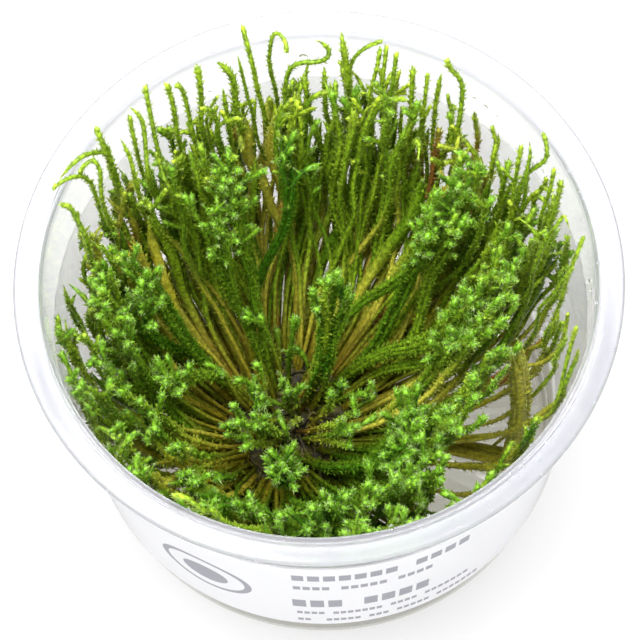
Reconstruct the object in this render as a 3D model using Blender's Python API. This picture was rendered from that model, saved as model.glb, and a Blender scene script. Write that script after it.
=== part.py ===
"""Clump of spiky moss in its open tissue-culture cup.

The cup is a thin-walled round polypropylene cup with a flat flange at its mouth, a short clear
collar under the flange and a tapered wall, wrapped in a printed band. The moss grows from a low
mat on the cup's floor. Its shoots spread like a bouquet, out towards the wall and then up past
the rim. They leave a hollow that widens upwards, with a few short tufts in it, and a thin patch by
the wall at the right-hand front.

The origin is at the centre of the cup's foot, +Z points up and -Y is the front.
"""
import math
import random

import bmesh
import bpy
from mathutils import Vector

MM = 0.001

# Cup, in millimetres: radii from the axis and heights above the foot
FLANGE_RADIUS = 47.5
FLANGE_HEIGHT = 58.5
FLANGE_EDGE = 1.1
CREST_RISE = 0.8
MOUTH_RADIUS = 42.8
COLLAR_TOP = 56.4
LEDGE_HEIGHT = 45.7
LEDGE_RADIUS = 42.4
LEDGE_STEP = 0.4
LEDGE_SLOPE = 0.4
LEDGE_BACK = (-0.8, 0.2)
FLOOR_RADIUS = 37.9
FLOOR_THICKNESS = 0.9
WALL_THICKNESS = 0.7
FOOT_ROUND = 1.2
FLOOR_ROUND = 1.6
CUP_STEPS = 72

# Collar's flare under the flange: steps outwards from the wall, and its start below the collar's top
FLARE_STEPS = (0.1, 0.7)
FLARE_START = 0.4

# Rounded crest round the mouth: its outer foot on the flange, then (outwards from the mouth, below
# the crest) points over the top and down into the mouth
CREST_FOOT = (1.7, 0.35)
CREST_POINTS = ((1.6, 0.0), (0.7, 0.25), (0.15, 1.0))

# Printed band round the wall
BAND_BOTTOM = 9.0
BAND_TOP = 44.4
BAND_THICKNESS = 0.4

# Clear space between pieces that touch in the real thing
GAP = 0.3

# Moss: the clump stands a little left of the cup's axis, so its thin side is on the right
CLUMP_CENTRE = (-6.0, -1.5)
MAT_RADIUS = 18.5
MAT_TOP = 3.4
MAT_STEPS = 40
MAT_BULGE = 1.05
MAT_SHRINK = 0.97

# Waves round the mat's edge: height, number and start in radians
MAT_WAVES = ((1.0, 3, 0.7), (0.6, 7, 2.0))
CLUMP_FOOT_RADIUS = 16.0
CLUMP_FULL_RADIUS = 41.6
CLUMP_SPREAD = 11.5
WALL_CLEARANCE = 0.9
LOCK_SPACE = 0.5
LEVEL_HEIGHTS = (MAT_TOP + GAP, 7.0, 11.5, 18.0, 28.0)
LEVEL_SPACE = 4.0
RANDOM_SEED = 11

# The hollow, as a share of the clump's radius at the mat and at the height where it is widest
HOLLOW_FOOT = 0.34
HOLLOW_FULL = 0.64
HOLLOW_HEIGHT = 52.0

# The thin patch at the right-hand front, in degrees from +X towards +Y
PATCH_START = -50.0
PATCH_END = 10.0

# Rings of locks: inner and outer edge, from 0 at the hollow to 1 by the wall, number of locks and
# first angle
LOCK_RINGS = (
    (0.67, 1.00, 22, 2.0),
    (0.34, 0.63, 16, 9.0),
    (0.0, 0.30, 10, 18.0),
)

# Single shoots in the thin patch: angle, share of the radius at the foot and at the tip, height of
# the tip and radius
LONE_SHOOTS = (
    (-44.0, 0.92, 0.93, 44.0, 1.0),
    (-34.0, 0.92, 0.94, 50.0, 1.1),
    (-23.0, 0.92, 0.84, 34.0, 1.4),
    (-14.0, 0.92, 0.96, 54.0, 1.0),
    (-6.0, 0.92, 0.94, 47.0, 1.1),
    (3.0, 0.92, 0.95, 58.0, 1.0),
)

# Short tufts in the hollow, in the same way
HOLLOW_TUFTS = (
    (42.0, 0.18, 0.27, 47.0, 2.4),
    (178.0, 0.18, 0.16, 24.0, 1.7),
    (-130.0, 0.18, 0.38, 33.0, 2.2),
    (-48.0, 0.18, 0.40, 30.0, 2.0),
)
STALK_FOOT = 0.5
STALK_SIDES = 6

# Height of the tips by the wall, how far they drop from one ring to the next towards the hollow,
# and how much they differ from lock to lock
BACK_TIP = 64.0
FRONT_TIP = 48.0
BACK_DROP = 4.0
FRONT_DROP = 5.5
BACK_FULLNESS = 0.6
TIP_SPREAD = 2.2
TIP_TURN = 25.0

# A lock's outline, as shares of its half width at the inner and outer corners, and its prongs
INNER_WIDTH = 0.6
OUTER_WIDTH = 0.75
TOP_NARROWING = 0.14
CROWN_RISE = 0.6
PRONG_LENGTH = 9.0
PRONG_SHORTER = 4.0
PRONG_WAIST = 0.52
PRONG_WAIST_HEIGHT = 0.45

PLASTIC = ("clear_polypropylene", (0.86, 0.87, 0.92), 0.28, 0.0)
PRINT = ("printed_band", (0.82, 0.82, 0.87), 0.45, 0.0)
MAT = ("old_moss", (0.10, 0.075, 0.02), 0.75, 0.0)
LEAF = ("green_moss", (0.07, 0.20, 0.02), 0.6, 0.0)


def clear_scene():
    for thing in list(bpy.data.objects):
        bpy.data.objects.remove(thing, do_unlink=True)


def material(spec):
    name, colour, roughness, metallic = spec
    made = bpy.data.materials.get(name)
    if made is None:
        made = bpy.data.materials.new(name)
        made.use_nodes = True
        shader = made.node_tree.nodes["Principled BSDF"]
        shader.inputs["Base Color"].default_value = (*colour, 1.0)
        shader.inputs["Roughness"].default_value = roughness
        shader.inputs["Metallic"].default_value = metallic
    return made


def add_object(name, mesh_builder, spec, smooth_angle=None):
    """Turns a bmesh in millimetres into a named object in metres."""
    bmesh.ops.scale(mesh_builder, vec=(MM, MM, MM), verts=mesh_builder.verts)
    mesh = bpy.data.meshes.new(name)
    mesh_builder.to_mesh(mesh)
    mesh_builder.free()
    mesh.materials.append(material(spec))
    if smooth_angle is not None:
        mesh.shade_smooth()
        mesh.set_sharp_from_angle(angle=math.radians(smooth_angle))
    made = bpy.data.objects.new(name, mesh)
    bpy.context.scene.collection.objects.link(made)
    return made


def arc(centre, radius, start, end, points):
    """Points on an arc in the profile plane, angles in degrees from outwards to upwards."""
    made = []
    for step in range(points):
        angle = math.radians(start + (end - start) * step / (points - 1))
        made.append((centre[0] + radius * math.cos(angle), centre[1] + radius * math.sin(angle)))
    return made


def turned(profile, closed):
    """Spins a profile of (radius, height) pairs round the axis."""
    made = bmesh.new()
    verts = [made.verts.new((radius, 0.0, height)) for radius, height in profile]
    edges = [made.edges.new(pair) for pair in zip(verts, verts[1:])]
    if closed:
        edges.append(made.edges.new((verts[-1], verts[0])))
    bmesh.ops.spin(
        made, geom=verts + edges, cent=(0, 0, 0), axis=(0, 0, 1),
        angle=2.0 * math.pi, steps=CUP_STEPS, use_merge=True,
    )
    bmesh.ops.remove_doubles(made, verts=made.verts, dist=0.001)
    bmesh.ops.recalc_face_normals(made, faces=made.faces)
    return made


def inner_wall(height):
    """Radius of the cup's inner wall at a height, from the floor up to the mouth."""
    if height <= LEDGE_HEIGHT:
        share = max(0.0, height) / LEDGE_HEIGHT
        return FLOOR_RADIUS + (LEDGE_RADIUS - LEDGE_STEP - FLOOR_RADIUS) * share
    share = min(1.0, (height - LEDGE_HEIGHT) / (COLLAR_TOP - LEDGE_HEIGHT))
    return LEDGE_RADIUS + (MOUTH_RADIUS - LEDGE_RADIUS) * share


def outer_wall(height):
    return inner_wall(height) + WALL_THICKNESS


def build_cup():
    crest = FLANGE_HEIGHT + CREST_RISE
    edge_middle = FLANGE_HEIGHT - FLANGE_EDGE / 2.0
    edge_round = FLANGE_EDGE / 2.0
    outside = [(0.0, 0.0)]
    outside += arc((outer_wall(0.0) - FOOT_ROUND, FOOT_ROUND), FOOT_ROUND, -90, 0, 4)
    outside += [(outer_wall(LEDGE_HEIGHT + step), LEDGE_HEIGHT + step) for step in LEDGE_BACK]
    outside += [(outer_wall(COLLAR_TOP) + FLARE_STEPS[0], COLLAR_TOP - FLARE_START)]
    outside += [(outer_wall(COLLAR_TOP) + FLARE_STEPS[1], FLANGE_HEIGHT - FLANGE_EDGE)]
    rim = arc((FLANGE_RADIUS - edge_round, edge_middle), edge_round, -90, 90, 5)
    rim += [(FLANGE_RADIUS - CREST_FOOT[0], FLANGE_HEIGHT + CREST_FOOT[1])]
    rim += [(MOUTH_RADIUS + outwards, crest - below) for outwards, below in CREST_POINTS]
    rim += [(MOUTH_RADIUS, COLLAR_TOP)]
    inside = [(LEDGE_RADIUS, LEDGE_HEIGHT)]
    inside += [(LEDGE_RADIUS - LEDGE_STEP, LEDGE_HEIGHT - LEDGE_SLOPE)]
    inside_corner = (inner_wall(FLOOR_THICKNESS) - FLOOR_ROUND, FLOOR_THICKNESS + FLOOR_ROUND)
    inside += arc(inside_corner, FLOOR_ROUND, 0, -90, 4)
    inside += [(0.0, FLOOR_THICKNESS)]
    add_object("cup", turned(outside + rim + inside, False), PLASTIC, 30)


def build_band():
    low = outer_wall(BAND_BOTTOM) + GAP
    high = outer_wall(BAND_TOP) + GAP
    profile = [
        (low, BAND_BOTTOM),
        (low + BAND_THICKNESS, BAND_BOTTOM),
        (high + BAND_THICKNESS, BAND_TOP),
        (high, BAND_TOP),
    ]
    add_object("label_band", turned(profile, True), PRINT, 30)


def build_mat():
    """The low mat of old stems that every shoot grows from, resting on the floor."""
    bottom = FLOOR_THICKNESS + GAP
    rings = ((1.0, bottom), (MAT_BULGE, 0.5 * (bottom + MAT_TOP)), (MAT_SHRINK, MAT_TOP))
    made = bmesh.new()
    loops = []
    for share, height in rings:
        loop = []
        for step in range(MAT_STEPS):
            angle = 2.0 * math.pi * step / MAT_STEPS
            wave = sum(size * math.sin(count * angle + start) for size, count, start in MAT_WAVES)
            radius = share * (MAT_RADIUS + wave)
            x = CLUMP_CENTRE[0] + radius * math.cos(angle)
            y = CLUMP_CENTRE[1] + radius * math.sin(angle)
            loop.append(made.verts.new((x, y, height)))
        loops.append(loop)
    for low, high in zip(loops, loops[1:]):
        for step in range(MAT_STEPS):
            after = (step + 1) % MAT_STEPS
            made.faces.new((low[step], low[after], high[after], high[step]))
    made.faces.new(list(reversed(loops[0])))
    made.faces.new(loops[-1])
    add_object("moss_mat", made, MAT)


def spread_share(height):
    """How far the clump has spread at a height, from 0 on the mat towards 1 by the wall."""
    return 1.0 - math.exp(-max(0.0, height - MAT_TOP) / CLUMP_SPREAD)


def clump_radius(height):
    """Radius of the whole clump at a height: it spreads fast, then follows the wall."""
    free = CLUMP_FOOT_RADIUS + (CLUMP_FULL_RADIUS - CLUMP_FOOT_RADIUS) * spread_share(height)
    return min(free, inner_wall(min(height, COLLAR_TOP)) - WALL_CLEARANCE)


def hollow_share(height):
    """Share of the clump's radius that the hollow takes at a height."""
    risen = min(1.0, max(0.0, height - MAT_TOP) / (HOLLOW_HEIGHT - MAT_TOP))
    return HOLLOW_FOOT + (HOLLOW_FULL - HOLLOW_FOOT) * risen


def place(share, angle, height):
    """A point of the clump, by its share of the radius, its angle in degrees and its height.

    The foot is centred on the mat, and the outside of the clump on the cup.
    """
    radius = share * clump_radius(height)
    turn = math.radians(angle)
    off_axis = 1.0 - share * spread_share(height)
    return Vector((
        CLUMP_CENTRE[0] * off_axis + radius * math.cos(turn),
        CLUMP_CENTRE[1] * off_axis + radius * math.sin(turn),
        height,
    ))


def in_crown(depth, angle, height):
    """A point between the hollow, at depth 0, and the outside of the clump, at depth 1."""
    hollow = hollow_share(height)
    return place(hollow + (1.0 - hollow) * depth, angle, height)


def tip_height(angle, ring, chance):
    """Tips stand highest at the back, and lower towards the front and the hollow."""
    back = (0.5 + 0.5 * math.sin(math.radians(angle + TIP_TURN))) ** BACK_FULLNESS
    height = FRONT_TIP + (BACK_TIP - FRONT_TIP) * back
    drop = FRONT_DROP + (BACK_DROP - FRONT_DROP) * back
    return height - drop * ring + chance.uniform(-TIP_SPREAD, TIP_SPREAD)


def levels_up_to(top):
    """Heights of a stalk's cross-sections; all stalks share them, so neighbours bend alike."""
    return [height for height in LEVEL_HEIGHTS if height < top - LEVEL_SPACE] + [top]


def lock(outline, top, tip_heights):
    """A closed lock of shoots: six-sided stalk, split at the top into three pointed prongs.

    outline holds six (depth, angle) corners, and each prong stands on two sides of them.
    """
    made = bmesh.new()
    middle = (sum(c[0] for c in outline) / 6.0, sum(c[1] for c in outline) / 6.0)

    def shrunk(corner, amount):
        return tuple(m + (c - m) * amount for c, m in zip(corner, middle))

    loops = []
    for height in levels_up_to(top):
        width = 1.0 - TOP_NARROWING * (height / top) ** 2
        corners = [in_crown(*shrunk(corner, width), height) for corner in outline]
        loops.append([made.verts.new(corner) for corner in corners])
    for low, high in zip(loops, loops[1:]):
        for side in range(6):
            after = (side + 1) % 6
            made.faces.new((low[side], low[after], high[after], high[side]))
    made.faces.new(list(reversed(loops[0])))
    crown = loops[-1]
    centre = made.verts.new(in_crown(*middle, top + CROWN_RISE))
    for prong, tip in enumerate(tip_heights):
        first, second, third = (crown[(2 * prong + k) % 6] for k in range(3))
        corners = [outline[(2 * prong + k) % 6] for k in range(3)] + [middle]
        core = tuple(sum(c[axis] for c in corners) / 4.0 for axis in range(2))
        waist = top + PRONG_WAIST_HEIGHT * (tip - top)
        ring = []
        for corner in corners:
            near = tuple(m + (c - m) * PRONG_WAIST for c, m in zip(corner, core))
            ring.append(made.verts.new(in_crown(*near, waist)))
        base = (first, second, third, centre)
        point = made.verts.new(in_crown(*core, tip))
        for side in range(4):
            after = (side + 1) % 4
            made.faces.new((base[side], base[after], ring[after], ring[side]))
            made.faces.new((ring[side], ring[after], point))
    return made


def in_patch(angle):
    turned_angle = (angle + 180.0) % 360.0 - 180.0
    return PATCH_START < turned_angle < PATCH_END


def build_locks():
    chance = random.Random(RANDOM_SEED)
    number = 0
    for ring, (inner, outer, count, first) in enumerate(LOCK_RINGS):
        width = 360.0 / count
        for step in range(count):
            angle = first + width * step
            if ring == 0 and in_patch(angle):
                continue
            number += 1
            # half the clear space between neighbours, as an angle at the narrow foot
            middle = 0.5 * (inner + outer)
            reach = (HOLLOW_FOOT + (1.0 - HOLLOW_FOOT) * middle) * CLUMP_FOOT_RADIUS
            half = 0.5 * width - math.degrees(0.5 * LOCK_SPACE / reach)
            corners = ((inner, INNER_WIDTH), (middle, 1.0), (outer, OUTER_WIDTH))
            outline = [(depth, angle - wide * half) for depth, wide in corners]
            outline += [(depth, angle + wide * half) for depth, wide in reversed(corners)]
            tip = tip_height(angle, ring, chance)
            tips = [tip - chance.uniform(0.0, PRONG_SHORTER) for prong in range(3)]
            tips[chance.randrange(3)] = tip
            made = lock(outline, tip - PRONG_LENGTH, tips)
            add_object(f"moss_lock_{number:02d}", made, LEAF, 50)


def build_stalks(name, stalks):
    """Slender shoots and tufts that stand alone, each a tapered stalk with a pointed top."""
    for number, (angle, foot_share, tip_share, tip, full_radius) in enumerate(stalks, 1):
        made = bmesh.new()
        loops = []
        for height in levels_up_to(tip - LEVEL_SPACE):
            risen = height / tip
            middle = place(foot_share + (tip_share - foot_share) * risen, angle, height)
            radius = full_radius * (STALK_FOOT + (1.0 - STALK_FOOT) * risen)
            loop = []
            for side in range(STALK_SIDES):
                turn = 2.0 * math.pi * side / STALK_SIDES
                offset = Vector((radius * math.cos(turn), radius * math.sin(turn), 0.0))
                loop.append(made.verts.new(middle + offset))
            loops.append(loop)
        for low, high in zip(loops, loops[1:]):
            for side in range(STALK_SIDES):
                after = (side + 1) % STALK_SIDES
                made.faces.new((low[side], low[after], high[after], high[side]))
        made.faces.new(list(reversed(loops[0])))
        point = made.verts.new(place(tip_share, angle, tip))
        for side in range(STALK_SIDES):
            made.faces.new((loops[-1][side], loops[-1][(side + 1) % STALK_SIDES], point))
        add_object(f"{name}_{number}", made, LEAF, 50)


def main():
    clear_scene()
    build_cup()
    build_band()
    build_mat()
    build_locks()
    build_stalks("moss_shoot", LONE_SHOOTS)
    build_stalks("moss_tuft", HOLLOW_TUFTS)


main()
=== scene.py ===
"""Spiky moss in its open tissue-culture cup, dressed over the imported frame.

Lengths are in millimetres until a mesh is finished, and then in metres as the frame is.
The camera, the lights and the floor are the photograph's own setting, a bright white studio.
"""
import math
import random
from collections import namedtuple
from functools import partial

import bmesh
import bpy
import numpy as np
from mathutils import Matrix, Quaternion, Vector


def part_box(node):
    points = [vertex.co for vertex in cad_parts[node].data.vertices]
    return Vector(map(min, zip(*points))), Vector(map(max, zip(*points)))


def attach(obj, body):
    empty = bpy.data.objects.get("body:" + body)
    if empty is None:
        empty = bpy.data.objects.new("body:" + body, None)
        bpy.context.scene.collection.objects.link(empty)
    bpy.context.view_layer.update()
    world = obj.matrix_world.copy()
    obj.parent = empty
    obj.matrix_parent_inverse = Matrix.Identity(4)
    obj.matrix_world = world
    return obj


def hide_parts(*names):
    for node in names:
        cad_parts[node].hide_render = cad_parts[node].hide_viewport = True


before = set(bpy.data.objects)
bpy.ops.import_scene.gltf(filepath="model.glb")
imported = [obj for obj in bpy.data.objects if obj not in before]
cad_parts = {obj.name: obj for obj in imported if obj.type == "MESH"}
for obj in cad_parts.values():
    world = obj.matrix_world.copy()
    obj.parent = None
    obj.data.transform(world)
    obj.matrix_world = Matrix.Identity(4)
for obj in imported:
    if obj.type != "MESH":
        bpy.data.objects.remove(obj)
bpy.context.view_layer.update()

MM = 0.001
TINY = 0.001
UP = Vector((0.0, 0.0, 1.0))
FULL_TURN = 2.0 * math.pi

# Camera, fitted to the photographed rim, mouth and base
CAMERA_PLACE = (0.19, -199.99, 489.35)
CAMERA_AIM = (-0.14, -7.46, 58.5)
CAMERA_ROLL = -3.49
CAMERA_LENS = 172.3
CAMERA_NEAR = 10.0

# Studio: the strength of its white surroundings, and its softboxes' names, places, widths and watts
STUDIO_GLOW = 0.55
SOFTBOXES = (
    ("side softbox", (-150, 20, 610), 400, 3.9),
    ("overhead softbox", (60, 100, 640), 460, 4.3),
    ("front softbox", (0, -560, 120), 400, 1.6),
)
SOFTBOX_AIM = (0, 0, 30)
FLOOR_REACH = 3000.0

# Cup: radii from the axis and heights above the foot, as the solids have them
FLANGE_RADIUS = 47.5
FLANGE_HEIGHT = 58.5
FLANGE_EDGE = 1.1
CREST = FLANGE_HEIGHT + 0.8
MOUTH_RADIUS = 42.8
COLLAR_TOP = 56.4
LEDGE_HEIGHT = 45.7
LEDGE_RADIUS = 42.4
LEDGE_STEP = 0.4
FLOOR_RADIUS = 37.9
FLOOR_THICKNESS = 0.9
WALL_THICKNESS = 0.7
FOOT_ROUND = 1.2
FLOOR_ROUND = 1.6
CUP_STEPS = 160
SHARP_ANGLE = 30

# Points of the cup's profile: heights by the ledge on the outside; the collar's flare under the flange,
# with its steps outwards and its start below the collar's top; the crest's foot on the flange; points
# over the crest, outwards from the mouth and below the top; and down the ledge, by its share of the step
LEDGE_BACK = (LEDGE_HEIGHT - 0.8, LEDGE_HEIGHT + 0.2)
FLARE_STEPS = (0.1, 0.7)
FLARE_START = 0.4
CREST_FOOT = (FLANGE_RADIUS - 1.7, FLANGE_HEIGHT + 0.35)
CREST_POINTS = ((1.6, 0.0), (0.7, 0.25), (0.15, 1.0))
LEDGE_POINTS = ((0.0, 0.0), (0.4, 0.9), (1.0, 1.8))

# Printed band round the wall
BAND_BOTTOM = 9.0
BAND_TOP = 44.4
BAND_GAP = 0.3
BAND_THICKNESS = 0.4

# Plain print on the band: rows of small blocks as words. Each row has its lowest and highest place
# above the foot, the pitch of its blocks, and the start and end of each word round the band from the
# right. Beside them is a disc in a ring
PRINT_ROWS = (
    (37.4, 40.6, 2.4, (-71.7, -55.0), (-52.5, -43.4)),
    (31.8, 33.8, 1.5, (-71.7, -66.0), (-64.5, -57.0), (-55.5, -50.0)),
    (20.6, 25.0, 2.9, (-71.7, -63.0), (-60.0, -48.0)),
    (15.8, 17.4, 1.2, (-71.7, -67.5), (-66.0, -58.0), (-56.5, -51.5), (-50.0, -42.0)),
    (11.3, 12.8, 1.2, (-71.7, -69.0), (-67.5, -61.0), (-59.5, -56.5), (-55.0, -49.0), (-47.5, -40.0)),
)
BLOCK_SHARE = 0.76
DISC_ANGLE = -120.0
DISC_HEIGHT = 27.0
DISC_RADIUS = 4.0
RING_RADIUS = 8.0
RING_WIDTH = 1.2
MEAN_BAND_RADIUS = 41.5

# Sizes of the patterns in the materials. Leaf cells, and the fibres of dead stems, are a few
# hundredths wide in the real thing, and are drawn as coarse as they need to show
SCUFF_SIZE = 1.111
RIPPLE_SIZE = 6.25
FILM_CLOUD_SIZE = 16.667
CELL_SIZE = 0.6667
CLOT_SIZE = 1.4286

# Beads of water: on the inside of the wall by angle, height and width, and on the rim's crest by
# angle and width. A bead's half sizes, outwards, sideways and upwards, are shares of its width
WALL_BEADS = (
    (90.5, 52.3, 1.5), (93.0, 44.6, 1.2), (50.8, 52.0, 0.7), (47.8, 51.8, 0.9), (44.6, 51.2, 0.6),
    (37.9, 46.7, 0.6), (32.5, 47.6, 0.8), (29.2, 48.9, 0.6), (-0.3, 51.1, 0.9), (64.5, 54.6, 0.5),
    (112.1, 47.9, 0.7), (11.5, 54.9, 0.6), (5.7, 55.4, 0.5), (-3.5, 53.0, 0.6), (131.0, 52.2, 0.5),
    (147.0, 49.6, 0.7), (198.0, 51.0, 0.6), (224.0, 53.5, 0.7), (246.0, 50.4, 0.5), (288.0, 52.8, 0.6),
)
CREST_BEADS = ((-9.7, 0.9), (-78.4, 0.9), (-70.5, 0.5), (-120.0, 0.6), (21.0, 0.5))
WALL_BEAD_SHAPE = (0.3, 0.5, 0.45)
CREST_BEAD_SHAPE = (0.5, 0.5, 0.45)
CREST_BEAD_OUT = 0.3

# Clump of moss: it stands a little left of the cup's axis, spreads fast and then follows the wall
CLUMP_CENTRE = (-6.0, -1.5)
CLUMP_FOOT_RADIUS = 16.0
CLUMP_FULL_RADIUS = 41.6
CLUMP_SPREAD = 11.5
WALL_CLEARANCE = 0.9

# Mat of old stems: its size, its grid, how high its lumps are and how close they lie, and its
# underside above the floor at the middle and at the edge
MAT_TOP = 3.4
MAT_RADIUS = 18.5
MAT_GRID = 60
MAT_LUMPS = (0.5, 18.9, 15.3)
MAT_GAPS = (0.3, 0.1)

# The hollow, as a share of the clump's radius at the mat and at the height where it is widest
HOLLOW_FOOT = 0.34
HOLLOW_FULL = 0.64
HOLLOW_HEIGHT = 52.0

# Least space to the plastic: of a stem in the cup, of a stem in the mouth and of a leaf's point. Well
# over the flange a stem may lean out past the mouth
STEM_GAP = 1.0
MOUTH_GAP = 0.2
LEAF_GAP = 0.05
OVER_FLANGE = 2.0
LEAN_OUT = 0.6

# Rings of locks, as the solids have them: inner and outer edge, from 0 at the hollow to 1 by the
# wall, number of locks, first angle
LOCK_RINGS = (
    (0.67, 1.00, 22, 2.0),
    (0.34, 0.63, 16, 9.0),
    (0.0, 0.30, 10, 18.0),
)
PATCH_START = -50.0
PATCH_END = 10.0
LOCKS_PER_PIECE = 6
Lock = namedtuple("Lock", "name ring inner outer angle width")

# Short tufts in the hollow: angle, share of the radius at the foot and at the tip, height of the tip,
# radius of the solid, number of shoots in it
HOLLOW_TUFTS = (
    (42.0, 0.18, 0.27, 47.0, 2.4, 9),
    (178.0, 0.18, 0.16, 24.0, 1.7, 5),
    (-130.0, 0.18, 0.38, 33.0, 2.2, 7),
    (-48.0, 0.18, 0.40, 30.0, 2.0, 6),
)

# Single shoots by the wall in the thin patch, in the same way; the third is the bundle of golden stems,
# which follows its own line
LONE_SHOOTS = (
    (-44.0, 0.92, 0.93, 44.0, 1.0, 1),
    (-34.0, 0.92, 0.94, 50.0, 1.1, 2),
    (-23.0, 0.92, 0.84, 34.0, 1.4, 0),
    (-14.0, 0.92, 0.96, 54.0, 1.0, 1),
    (-6.0, 0.92, 0.94, 47.0, 1.1, 2),
    (3.0, 0.92, 0.95, 58.0, 1.0, 1),
)

# Shoots that lean over the rim, with their arches and forks as they are in the photograph:
# thickness, then the places that the last stretch of each runs through
RIM_SHOOTS = (
    (0.9, (-32.1, 23.3, 59.5), (-34.5, 21.4, 63.0), (-36.9, 19.5, 64.0), (-39.5, 17.4, 62.5)),
    (1.0, (-32.0, 23.1, 60.0), (-32.8, 23.7, 63.0), (-33.4, 24.9, 65.0)),
    (1.0, (-34.9, 19.1, 57.0), (-36.1, 18.5, 61.0), (-38.4, 17.1, 63.0), (-40.8, 15.7, 62.5)),
    (1.0, (-36.3, 10.7, 57.0), (-37.2, 11.8, 60.0), (-38.0, 12.5, 62.5), (-39.3, 12.5, 63.5)),
    (1.0, (-33.5, 17.1, 55.0), (-33.4, 18.0, 58.0), (-33.2, 19.3, 61.5),
     (-34.2, 19.9, 63.5), (-35.7, 19.0, 63.0), (-36.4, 18.9, 61.0)),
    (1.0, (-28.3, 21.6, 54.0), (-28.7, 22.9, 58.0), (-29.7, 24.0, 62.0)),
    (1.0, (-26.3, 23.1, 52.0), (-26.2, 27.0, 60.0), (-27.0, 28.0, 63.0), (-28.0, 28.3, 64.5)),
    (0.8, (-27.9, 26.2, 57.0), (-28.1, 26.9, 61.0), (-28.1, 27.3, 63.5)),
    (1.0, (-24.2, 24.9, 50.0), (-25.0, 28.8, 60.0), (-25.4, 31.2, 66.0)),
    (1.0, (-21.4, 29.9, 52.0), (-21.5, 31.5, 58.0), (-22.1, 32.4, 64.0)),
    (1.0, (-19.0, 30.8, 50.0), (-19.4, 32.4, 56.0), (-19.9, 32.9, 61.0), (-20.6, 32.1, 64.0)),
    (1.35, (-17.5, 32.3, 50.0), (-17.0, 33.4, 58.0), (-17.1, 34.6, 65.0)),
    (0.8, (-16.7, 33.1, 49.0), (-15.9, 33.2, 53.0), (-14.3, 32.9, 58.0)),
    (1.0, (-13.1, 32.5, 47.0), (-13.2, 32.8, 51.0), (-13.4, 33.6, 59.0)),
    (1.2, (-11.7, 34.0, 52.0), (-11.8, 35.3, 59.0), (-13.0, 35.7, 62.5), (-14.0, 35.4, 64.5)),
    (0.85, (-10.0, 35.9, 56.0), (-10.7, 37.2, 63.0)),
    (0.95, (-8.3, 37.4, 56.0), (-9.0, 39.4, 61.5), (-9.7, 41.2, 65.5)),
    (1.0, (-5.9, 38.9, 58.0), (-5.1, 39.6, 64.0), (-4.0, 39.1, 66.0),
     (-3.0, 37.7, 65.5), (-2.9, 37.0, 63.5)),
    (1.0, (-3.7, 35.5, 54.0), (-2.7, 36.8, 58.0), (-0.7, 36.9, 60.0), (1.8, 36.6, 60.5),
     (3.5, 36.7, 61.5), (3.7, 37.4, 63.0), (2.8, 37.8, 64.5), (1.8, 37.7, 65.5)),
    (1.0, (-0.1, 35.4, 52.0), (-0.5, 36.0, 57.0)),
    (1.0, (2.8, 35.2, 52.0), (2.9, 36.0, 60.0)),
    (1.25, (6.7, 36.4, 56.0), (6.2, 37.7, 62.0), (5.9, 39.0, 65.5)),
    (1.0, (6.9, 36.8, 57.0), (7.8, 37.3, 60.0), (9.7, 37.6, 62.5), (12.3, 37.8, 64.0)),
    (1.0, (9.9, 34.2, 53.0), (11.3, 35.8, 59.0), (12.0, 37.1, 63.0)),
    (1.0, (11.9, 34.4, 54.0), (12.5, 35.8, 59.5), (13.0, 37.2, 63.5)),
    (1.0, (13.4, 33.9, 53.0), (14.0, 34.9, 58.5), (14.5, 36.1, 63.0)),
    (1.0, (16.6, 32.4, 51.0), (17.0, 34.2, 61.0)),
    (1.0, (18.6, 31.9, 51.0), (19.3, 33.4, 60.5)),
    (1.0, (20.4, 31.8, 51.0), (20.9, 32.5, 56.5), (21.4, 32.9, 61.0)),
    (1.0, (23.9, 28.4, 50.0), (24.7, 31.0, 57.0), (24.3, 31.9, 60.5),
     (22.8, 32.6, 63.0), (22.2, 33.3, 65.0)),
    (1.0, (31.9, 16.1, 52.0), (32.4, 17.2, 58.5), (32.9, 18.5, 62.5)),
    (0.8, (33.7, 15.9, 58.5), (34.2, 17.2, 62.0), (34.1, 18.2, 64.0)),
    (1.0, (32.8, 16.0, 53.0), (33.8, 16.3, 57.0), (36.3, 16.3, 61.0),
     (36.8, 17.0, 63.0), (36.2, 18.7, 66.0)),
    (1.0, (35.9, 11.8, 51.0), (37.0, 12.7, 57.0), (37.7, 14.2, 62.5)),
    (1.0, (37.1, 10.0, 50.0), (37.9, 10.5, 56.5), (38.6, 12.0, 62.5)),
    (1.0, (34.1, 3.8, 47.0), (35.6, 4.7, 55.0), (37.3, 5.2, 60.5),
     (38.5, 5.6, 63.0), (39.1, 4.0, 62.0)),
    (1.0, (38.5, -1.5, 53.0), (39.8, 0.0, 59.5), (41.1, 1.5, 64.0)),
    (0.85, (34.6, -2.2, 46.0), (37.0, -2.3, 53.0), (39.3, -2.0, 60.5)),
    (1.0, (-10.5, -33.5, 38.0), (-13.2, -37.4, 49.0), (-16.6, -38.6, 56.0), (-19.6, -37.6, 59.2),
     (-21.7, -36.3, 60.8), (-23.7, -36.0, 61.6)),
)

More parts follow.
